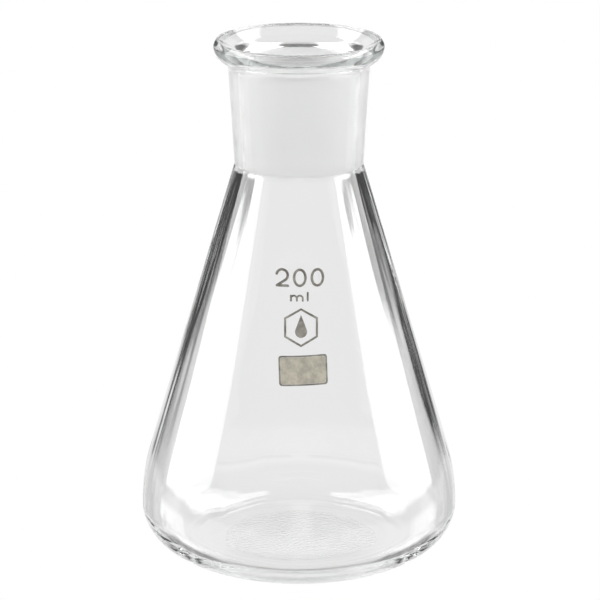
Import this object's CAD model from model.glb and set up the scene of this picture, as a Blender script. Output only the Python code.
"""Looks for the 200 ml conical flask: glass with a ground bore, fired-on prints, floor, light and camera.

The shapes are given in millimetres and built in metres, in the CAD part's frame: +Z up along the flask's
axis, the printed front towards -Y, and the origin in the middle of the base, on the floor.
"""

import math

import bpy
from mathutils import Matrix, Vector, noise


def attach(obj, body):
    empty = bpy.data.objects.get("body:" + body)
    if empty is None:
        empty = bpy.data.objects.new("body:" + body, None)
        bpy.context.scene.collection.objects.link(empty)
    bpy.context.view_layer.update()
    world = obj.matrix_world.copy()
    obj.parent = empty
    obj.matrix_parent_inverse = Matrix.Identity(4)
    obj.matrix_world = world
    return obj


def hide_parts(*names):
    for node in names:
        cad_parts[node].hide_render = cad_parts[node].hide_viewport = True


MM = 0.001

# ---- Glass profile, in millimetres -----------------------------------------------------------

HEIGHT = 131
CONE_ANGLE = math.radians(16.45)  # of the wall, from the axis

PUNT_RADIUS = 19.5  # of the pushed-up middle of the base
PUNT_RISE = 0.75
FOOT_RADIUS = 22.5  # outer edge of the flat ring that the flask stands on
BODY_RADIUS = 39.5
WIDEST_Z = 12.75
SHOULDER_RADIUS = 50  # of the curve from the widest place up to the cone

WALL = 2.1
FLOOR_Z = 3  # inside, at the floor's edge
FLOOR_CROWN = 0.5

SEAM_Z = 99.5  # where the socket is fused to the cone
NECK_FILLET = 4
NECK_FLARE = math.radians(3.4)
NECK_TOP_Z = 123.6
BORE_TOP_RADIUS = 14.6
BORE_TAPER = 1 / 20  # of the radius
BORE_TOP_Z = 126

BEAD_RADIUS = 20.8
BEAD_Z = 129.3
BEAD_FLANK = 4  # radius of the bead's underside
BEAD_FLANK_START = math.radians(-60)
BEAD_TURN = 0.5  # the bead's top bends in about this far above its widest place
LIP_RADIUS = 19.95
LIP_ROUND = 0.15
LIP_START = math.radians(28)  # how far round its rounding the bead's top comes in
MOUTH_SLOPE = math.radians(28)  # of the flared mouth next to the lip

SEGMENTS = 288  # round the flask

# Unevenness of the inside surface, in millimetres. A wave's "round" is how quickly it changes round the wall,
# its "rise" is how far up it takes to change, and its "shift" keeps it apart from the other.
WAVE_FOOT = (8, 16)  # heights where the waves begin and are full
WAVE_TOP = (SEAM_Z, SEAM_Z - 6)  # heights where they end and are full
SLOW_WAVE = {"depth": 0.16, "round": 5, "rise": 30, "shift": 0}
FINE_WAVE = {"depth": 0.035, "round": 16, "rise": 22, "shift": 9}
RING_DEPTH = 0.025
RING_SPACINGS = (2.6, 3.7)
RING_INSIDE = (21, 25)  # radii where the rings begin and are full
RING_TOP = (9, 6)  # heights where they end and are full

CLEAR, GROUND, STIPPLED = range(3)  # the glass piece's material slots


def arc(centre, radius_x, radius_z, start, end, steps):
    """Points on an elliptical arc, both ends included. Angles run from the +x direction."""
    return [
        (
            centre[0] + radius_x * math.cos(start + (end - start) * i / steps),
            centre[1] + radius_z * math.sin(start + (end - start) * i / steps),
        )
        for i in range(steps + 1)
    ]


def line(start, end, steps):
    return [
        (start[0] + (end[0] - start[0]) * i / steps, start[1] + (end[1] - start[1]) * i / steps)
        for i in range(steps + 1)
    ]


def bend(start, control, end, steps):
    """A quadratic curve between two points."""
    return [
        tuple(
            (1 - t) ** 2 * a + 2 * t * (1 - t) * b + t * t * c
            for a, b, c in zip(start, control, end)
        )
        for t in (i / steps for i in range(steps + 1))
    ]


def dome(radius, edge_z, rise, steps):
    """A shallow dome from the axis out to its edge."""
    return [(radius * i / steps, edge_z + rise * (1 - (i / steps) ** 2)) for i in range(steps + 1)]


def surfaced(points, material):
    return [(point, material) for point in points]


SHOULDER_CENTRE = (BODY_RADIUS - SHOULDER_RADIUS, WIDEST_Z)
HEEL_CENTRE = (FOOT_RADIUS, WIDEST_Z)
CONE_FOOT = (
    SHOULDER_CENTRE[0] + SHOULDER_RADIUS * math.cos(CONE_ANGLE),
    SHOULDER_CENTRE[1] + SHOULDER_RADIUS * math.sin(CONE_ANGLE),
)
LIP_CENTRE = (LIP_RADIUS, HEIGHT - LIP_ROUND)


def cone_radius(z):
    return CONE_FOOT[0] - (z - CONE_FOOT[1]) * math.tan(CONE_ANGLE)


def outside_profile():
    """From the middle of the underside, out and up to the top of the lip, as (point, material) pairs."""
    seam = (cone_radius(SEAM_Z), SEAM_Z)
    fillet_centre = (
        seam[0] + NECK_FILLET * math.cos(CONE_ANGLE),
        seam[1] + NECK_FILLET * math.sin(CONE_ANGLE),
    )
    fillet_ends = (math.pi + CONE_ANGLE, math.pi - NECK_FLARE)
    fillet = arc(fillet_centre, NECK_FILLET, NECK_FILLET, *fillet_ends, steps=8)
    foot = fillet[-1]
    neck_top = (foot[0] + (NECK_TOP_Z - foot[1]) * math.tan(NECK_FLARE), NECK_TOP_Z)
    flank_centre = (BEAD_RADIUS - BEAD_FLANK, BEAD_Z)
    flank = arc(flank_centre, BEAD_FLANK, BEAD_FLANK, BEAD_FLANK_START, 0, steps=12)
    flank_slope = math.tan(math.pi / 2 + BEAD_FLANK_START)
    crossing = (neck_top[0], flank[0][1] - (flank[0][0] - neck_top[0]) * flank_slope)
    bead_edge = flank[-1]
    bead_turn = (bead_edge[0], bead_edge[1] + BEAD_TURN)
    lip = arc(LIP_CENTRE, LIP_ROUND, LIP_ROUND, LIP_START, math.pi / 2, steps=8)
    clear = [
        *line((PUNT_RADIUS, 0), (FOOT_RADIUS, 0), steps=3)[1:-1],
        *arc(HEEL_CENTRE, BODY_RADIUS - FOOT_RADIUS, WIDEST_Z, -math.pi / 2, 0, steps=32),
        *arc(SHOULDER_CENTRE, SHOULDER_RADIUS, SHOULDER_RADIUS, 0, CONE_ANGLE, steps=12)[1:],
        *line(CONE_FOOT, seam, steps=40)[1:-1],
        *fillet,
        *line(foot, neck_top, steps=10)[1:-1],
        *bend(neck_top, crossing, flank[0], steps=10),
        *flank[1:],
        *bend(bead_edge, bead_turn, lip[0], steps=8)[1:],
        *lip[1:],
    ]
    return surfaced(dome(PUNT_RADIUS, 0, PUNT_RISE, steps=10), STIPPLED) + surfaced(clear, CLEAR)


def inside_profile():
    """From the top of the lip, in and down to the middle of the floor, as (point, material) pairs."""
    lip = arc(LIP_CENTRE, LIP_ROUND, LIP_ROUND, math.pi / 2, math.pi / 2 + MOUTH_SLOPE, steps=4)
    lip_end = lip[-1]
    bore_top = (BORE_TOP_RADIUS, BORE_TOP_Z)
    turn = (bore_top[0], lip_end[1] - (lip_end[0] - bore_top[0]) * math.tan(MOUTH_SLOPE))
    bore_end = (BORE_TOP_RADIUS - (BORE_TOP_Z - SEAM_Z) * BORE_TAPER, SEAM_Z)
    inner_shoulder = SHOULDER_RADIUS - WALL
    shoulder = arc(SHOULDER_CENTRE, inner_shoulder, inner_shoulder, CONE_ANGLE, 0, steps=12)
    heel_reach = BODY_RADIUS - WALL - FOOT_RADIUS
    heel = arc(HEEL_CENTRE, heel_reach, WIDEST_Z - FLOOR_Z, 0, -math.pi / 2, steps=90)
    mouth = [*lip[1:], *bend(lip_end, turn, bore_top, steps=16)[1:]]
    ground = line(bore_top, bore_end, steps=16)[1:]
    body = [
        *line(bore_end, shoulder[0], steps=40)[1:],
        *shoulder[1:],
        *heel[1:],
        *reversed(dome(FOOT_RADIUS, FLOOR_Z, FLOOR_CROWN, steps=12)[:-1]),
    ]
    return surfaced(mouth, CLEAR) + surfaced(ground, GROUND) + surfaced(body, CLEAR)


def ramp(value, none, full):
    """From 0 to 1 between two places, and level beyond them."""
    return min(1, max(0, (value - none) / (full - none)))


def wave(angle, z):
    """How far the blown wall's inside strays from a true turned surface, in millimetres."""
    depth = 0
    for kind in (SLOW_WAVE, FINE_WAVE):
        x = kind["round"] * math.cos(angle)
        y = kind["round"] * math.sin(angle)
        depth += kind["depth"] * noise.noise(Vector((x, y, z / kind["rise"] + kind["shift"])))
    return ramp(z, *WAVE_TOP) * ramp(z, *WAVE_FOOT) * depth


def ripple(radius, z):
    """The rings that the mould left in the inside of the heel, in millimetres."""
    rings = sum(math.sin(2 * math.pi * radius / spacing) for spacing in RING_SPACINGS)
    return RING_DEPTH * ramp(radius, *RING_INSIDE) * ramp(z, *RING_TOP) * rings


def glass_ring(radius, z, uneven):
    """One ring of the shell's points, in metres, or a single point on the axis."""
    if radius == 0:
        return [(0, 0, z * MM)]
    ring = []
    for j in range(SEGMENTS):
        angle = 2 * math.pi * j / SEGMENTS
        reach = radius + (wave(angle, z) if uneven else 0)
        level = z + (ripple(radius, z) if uneven else 0)
        ring.append((reach * MM * math.cos(angle), reach * MM * math.sin(angle), level * MM))
    return ring


def faces_between(here, there):
    """Faces that join two neighbouring rings of vertex numbers. A ring of one makes a fan."""
    faces = []
    for j in range(SEGMENTS):
        k = (j + 1) % SEGMENTS
        if len(here) == 1:
            faces.append((here[0], there[k], there[j]))
        elif len(there) == 1:
            faces.append((here[j], here[k], there[0]))
        else:
            faces.append((here[j], here[k], there[k], there[j]))
    return faces


def flask_glass():
    """The body and the socket as the one piece of fused glass that they are: a closed turned shell."""
    outside = outside_profile()
    vertices = []
    faces = []
    materials = []
    previous = None
    for i, ((radius, z), material) in enumerate(outside + inside_profile()):
        ring = glass_ring(radius, z, uneven=i >= len(outside))
        numbers = range(len(vertices), len(vertices) + len(ring))
        vertices += ring
        if previous is not None:
            faces += faces_between(previous, numbers)
            materials += [material] * SEGMENTS
        previous = numbers
    mesh = bpy.data.meshes.new("flask_glass")
    mesh.from_pydata(vertices, [], faces)
    mesh.polygons.foreach_set("material_index", materials)
    mesh.polygons.foreach_set("use_smooth", [True] * len(faces))
    for material in (clear_glass(), ground_glass(), stippled_glass()):
        mesh.materials.append(material)
    piece = bpy.data.objects.new("flask_glass", mesh)
    bpy.context.scene.collection.objects.link(piece)
    return piece


# ---- Materials -------------------------------------------------------------------------------

ENAMEL_COLOURS = ((0.11, 0.1, 0.085), (0.27, 0.26, 0.23))
SPOT_COLOURS = ((0.3, 0.285, 0.235), (0.44, 0.41, 0.335))

# Sizes of the blotches in each material's noise, in millimetres
ENAMEL_BLOTCH = 2
GROUND_BLOTCH = 1.1
STIPPLE = 0.6


def new_material(name):
    material = bpy.data.materials.new(name)
    material.use_nodes = True
    return material, material.node_tree.nodes, material.node_tree.links


def set_inputs(node, values):
    for name, value in values.items():
        node.inputs[name].default_value = value


def blotches(nodes, links, size):
    """Noise in the object's own space, with blotches of about the given size in millimetres."""
    texture = nodes.new("ShaderNodeTexNoise")
    set_inputs(texture, {"Scale": 1 / (size * MM)})
    links.new(nodes.new("ShaderNodeTexCoord").outputs["Object"], texture.inputs["Vector"])
    return texture


def glass_base(name, roughness=0):
    """Borosilicate glass, which takes a faint green tint with depth."""
    material, nodes, links = new_material(name)
    surface = nodes["Principled BSDF"]
    clear = {"Base Color": (1, 1, 1, 1), "Roughness": roughness, "IOR": 1.473, "Transmission Weight": 1}
    set_inputs(surface, clear)
    tint = nodes.new("ShaderNodeVolumeAbsorption")
    set_inputs(tint, {"Color": (0.76, 0.86, 0.83, 1), "Density": 1.5})
    links.new(tint.outputs["Volume"], nodes["Material Output"].inputs["Volume"])
    return material, nodes, links, surface


def clear_glass():
    return glass_base("clear_glass")[0]


def ground_glass():
    """Partly milky, and rougher in some places than in others."""
    material, nodes, links, surface = glass_base("ground_glass")
    set_inputs(surface, {"Transmission Weight": 0.7})
    grain = blotches(nodes, links, GROUND_BLOTCH)
    spread = nodes.new("ShaderNodeMapRange")
    set_inputs(spread, {"To Min": 0.35, "To Max": 0.55})
    links.new(grain.outputs["Fac"], spread.inputs["Value"])
    links.new(spread.outputs["Result"], surface.inputs["Roughness"])
    return material


def stippled_glass():
    """The fine pebbled skin of the middle of the base."""
    material, nodes, links, surface = glass_base("stippled_glass", roughness=0.02)
    grain = blotches(nodes, links, STIPPLE)
    bump = nodes.new("ShaderNodeBump")
    set_inputs(bump, {"Strength": 0.5, "Distance": 0.2 * MM})
    links.new(grain.outputs["Fac"], bump.inputs["Height"])
    links.new(bump.outputs["Normal"], surface.inputs["Normal"])
    return material


def fired_enamel(name, dark, light):
    """Matt enamel, mottled between two colours."""
    material, nodes, links = new_material(name)
    surface = nodes["Principled BSDF"]
    set_inputs(surface, {"Roughness": 0.7})
    mottle = blotches(nodes, links, ENAMEL_BLOTCH)
    set_inputs(mottle, {"Detail": 6, "Roughness": 0.7})
    contrast = nodes.new("ShaderNodeMapRange")
    set_inputs(contrast, {"From Min": 0.38, "From Max": 0.62})
    colours = nodes.new("ShaderNodeMix")
    colours.data_type = "RGBA"
    set_inputs(colours, {"A": (*dark, 1), "B": (*light, 1)})
    links.new(mottle.outputs["Fac"], contrast.inputs["Value"])
    links.new(contrast.outputs["Result"], colours.inputs["Factor"])
    links.new(colours.outputs["Result"], surface.inputs["Base Color"])
    return material


# ---- Studio ----------------------------------------------------------------------------------

FLOOR_REACH = 0.42
FLOOR_DROP = 0.0002  # below the foot, so that the two faces don't touch
FLOOR_CORNERS = 96

# Lamps and dark panels are patches of the sky, given in degrees. "around" is 0 straight behind the flask
# and straight in front of it, and 90 at its sides. "up" is the height above the horizon. A range has two
# ends, and an end is its place and the width of its soft edge, or OPEN. A lamp's level is its brightness.
OPEN = None
ROOM_LIGHT = 0.85
SIDE_LAMPS = {"level": 5.0, "around": ((65, 2), OPEN), "up": ((-6, 4), (30, 4))}
HIGH_LAMP = {"level": 4.0, "half": "behind", "around": ((9, 4), (62, 6)), "up": ((36, 5), (57, 4))}
LOW_LAMP = {"level": 1.8, "half": "behind", "around": ((60, 4), OPEN), "up": ((-52, 8), (-12, 4))}

# A panel's level is the share of the room's light that it takes away
DARK_PANELS = (
    {"level": 0.93, "around": ((7, 4), (66, 6)), "up": ((-9, 3), (8, 4))},
    {"level": 0.93, "around": ((10, 4), (31, 6)), "up": ((-12, 3), (8, 4))},
    {"level": 0.3, "around": ((22, 8), (66, 6)), "up": ((-28, 6), (-7, 4))},
    {"level": 0.75, "around": ((22, 8), (66, 6)), "up": ((-58, 8), (-34, 8))},
    {"level": 0.75, "half": "in_front", "around": (OPEN, (66, 6)), "up": ((-58, 8), (-36, 8))},
    {"level": 0.45, "up": (OPEN, (-58, 14))},
    {"level": 0.8, "up": ((27, 8), OPEN)},
)

# Soft edges between what is in front of the flask and behind it, as the y of a direction: (place, width)
BEHIND = (0.03, 0.06)
IN_FRONT = (-0.03, 0.06)
FRONT_HALF = (0, 0.1)

# In front of the flask, the lower inner corner of each side lamp is cut off. Below the top of the corner, the
# lamp's inner edge moves outwards by the slant for each degree down.
CORNER_TOP = 10
CORNER_SLANT = 1.6

# Light for rays that a matt surface has scattered. It grows towards the sides.
FILL_LIGHT = 0.15
SIDE_FILL = 4.4

CAMERA_AIM = (0.00025, 0, 0.065)
CAMERA_OFFSET = (0, -0.7499, 0.217)
LENS = 188.5
SENSOR = 36


def studio_floor():
    """A white disc that only the camera and matt surfaces see. Glass sees the room's light in its place."""
    material, nodes, links = new_material("studio_floor")
    glow = nodes.new("ShaderNodeEmission")
    set_inputs(glow, {"Strength": 1})
    links.new(glow.outputs["Emission"], nodes["Material Output"].inputs["Surface"])
    turns = [2 * math.pi * i / FLOOR_CORNERS for i in range(FLOOR_CORNERS)]
    ring = [(FLOOR_REACH * math.cos(turn), FLOOR_REACH * math.sin(turn), -FLOOR_DROP) for turn in turns]
    mesh = bpy.data.meshes.new("studio_floor")
    mesh.from_pydata(ring, [], [tuple(range(FLOOR_CORNERS))])
    mesh.materials.append(material)
    floor = bpy.data.objects.new("studio_floor", mesh)
    bpy.context.scene.collection.objects.link(floor)
    floor.visible_glossy = False
    floor.visible_transmission = False


class Sums:
    """Makes the maths nodes of one node tree. A value is a number or another node's output."""

    def __init__(self, tree):
        self.nodes = tree.nodes
        self.links = tree.links

    def feed(self, socket, value):
        if isinstance(value, (int, float)):
            socket.default_value = value
        else:
            self.links.new(value, socket)

    def maths(self, operation, *values):
        node = self.nodes.new("ShaderNodeMath")
        node.operation = operation
        for socket, value in zip(node.inputs, values):
            self.feed(socket, value)
        return node.outputs[0]

    def times(self, *values):
        total = values[0]
        for value in values[1:]:
            total = self.maths("MULTIPLY", total, value)
        return total

    def choose(self, test, otherwise, value):
        """The value where the test is 1, and the other one where it is 0."""
        node = self.nodes.new("ShaderNodeMix")
        for name, source in (("Factor", test), ("A", otherwise), ("B", value)):
            self.feed(node.inputs[name], source)
        return node.outputs["Result"]

    def step(self, value, middle, softness, below=0, above=1):
        """One level below the middle and another above it, with a soft edge between them."""
        node = self.nodes.new("ShaderNodeMapRange")
        node.interpolation_type = "SMOOTHSTEP"
        start, end = middle - softness / 2, middle + softness / 2
        set_inputs(node, {"From Min": start, "From Max": end, "To Min": below, "To Max": above})
        self.feed(node.inputs["Value"], value)
        return node.outputs["Result"]

    def edges(self, value, ends):
        """The soft edges of a range, as factors to multiply."""
        start, end = ends
        factors = []
        if start is not OPEN:
            factors.append(self.step(value, *start))
        if end is not OPEN:
            factors.append(self.step(value, *end, below=1, above=0))
        return factors

    def patch(self, sky, level, half=None, around=(OPEN, OPEN), up=(OPEN, OPEN)):
        """A soft-edged patch of light or dark in the directions that its ranges cover."""
        factors = [level, *self.edges(sky["around"], around), *self.edges(sky["up"], up)]
        if half:
            factors.append(sky[half])
        return self.times(*factors)


def directions(sums):
    """Where a ray is heading, in the terms that the lamps and panels are given in."""
    split = sums.nodes.new("ShaderNodeSeparateXYZ")
    sums.links.new(sums.nodes.new("ShaderNodeTexCoord").outputs["Generated"], split.inputs[0])
    x, y, z = split.outputs
    degrees = math.degrees(1)
    across = sums.maths("ARCTAN2", sums.maths("ABSOLUTE", x), sums.maths("ABSOLUTE", y))
    return {
        "x": x,
        "around": sums.times(across, degrees),
        "up": sums.times(sums.maths("ARCSINE", z), degrees),
        "behind": sums.step(y, *BEHIND),
        "in_front": sums.step(y, *IN_FRONT, below=1, above=0),
        "front_half": sums.step(y, *FRONT_HALF, below=1, above=0),
    }


def side_lamps(sums, sky, reflected):
    """A tall soft light on each side, which only reflections show."""
    drop = sums.maths("MINIMUM", sums.maths("SUBTRACT", sky["up"], CORNER_TOP), 0)
    cut = sums.times(drop, sky["front_half"])
    slanted = {**sky, "around": sums.maths("MULTIPLY_ADD", cut, CORNER_SLANT, sky["around"])}
    return sums.times(sums.patch(slanted, **SIDE_LAMPS), reflected)


def studio_world():
    """White to the camera. The flask sees a pale room with dark panels, and lamps beside and behind it."""
    world = bpy.data.worlds.new("studio")
    bpy.context.scene.world = world
    world.use_nodes = True
    sums = Sums(world.node_tree)
    sky = directions(sums)
    path = sums.nodes.new("ShaderNodeLightPath").outputs
    dark = 0
    for panel in DARK_PANELS:
        dark = sums.maths("MAXIMUM", dark, sums.patch(sky, **panel))
    light = sums.times(ROOM_LIGHT, sums.maths("SUBTRACT", 1, dark))
    for lamp in (
        side_lamps(sums, sky, path["Is Reflection Ray"]),
        sums.patch(sky, **HIGH_LAMP),
        sums.patch(sky, **LOW_LAMP),
    ):
        light = sums.maths("MAXIMUM", light, lamp)
    fill = sums.maths("ADD", FILL_LIGHT, sums.times(SIDE_FILL, sky["x"], sky["x"]))
    scattered = sums.maths("GREATER_THAN", path["Diffuse Depth"], 0.5)
    light = sums.choose(scattered, light, fill)
    light = sums.choose(path["Is Camera Ray"], light, 1)
    background = sums.nodes["Background"]
    sums.links.new(light, background.inputs["Strength"])
    set_inputs(background, {"Color": (1, 1, 1, 1)})


def place_camera():
    camera = bpy.data.objects.new("camera", bpy.data.cameras.new("camera"))
    camera.data.sensor_width = SENSOR
    camera.data.lens = LENS
    camera.data.clip_start = 0.01
    camera.data.clip_end = 10
    aim = Vector(CAMERA_AIM)
    camera.location = aim + Vector(CAMERA_OFFSET)
    camera.rotation_euler = (aim - camera.location).to_track_quat("-Z", "Y").to_euler()
    bpy.context.scene.collection.objects.link(camera)
    bpy.context.scene.camera = camera


def render_settings():
    """Many bounces, because light is trapped for long in the heel and the bead, which go grey without."""
    scene = bpy.context.scene
    scene.view_settings.view_transform = "Standard"
    scene.cycles.max_bounces = 64
    scene.cycles.transmission_bounces = 64
    scene.cycles.glossy_bounces = 48
    scene.cycles.use_denoising = True


# ---- Assembly --------------------------------------------------------------------------------

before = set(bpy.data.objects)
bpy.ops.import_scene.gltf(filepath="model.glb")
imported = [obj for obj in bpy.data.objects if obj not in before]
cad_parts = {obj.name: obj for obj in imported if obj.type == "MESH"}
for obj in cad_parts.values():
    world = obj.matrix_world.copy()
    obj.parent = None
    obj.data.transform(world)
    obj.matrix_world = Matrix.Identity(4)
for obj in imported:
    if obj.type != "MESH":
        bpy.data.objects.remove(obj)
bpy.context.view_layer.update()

glass = flask_glass()
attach(glass, "root")
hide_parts("flask_body", "ground_joint_socket")

enamel = fired_enamel("enamel", *ENAMEL_COLOURS)
spot_enamel = fired_enamel("spot_enamel", *SPOT_COLOURS)
for name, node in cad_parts.items():
    if name.startswith(("print_", "mark")):
        node.data.materials.clear()
        node.data.materials.append(spot_enamel if name == "marking_spot" else enamel)

studio_floor()
studio_world()
place_camera()
render_settings()
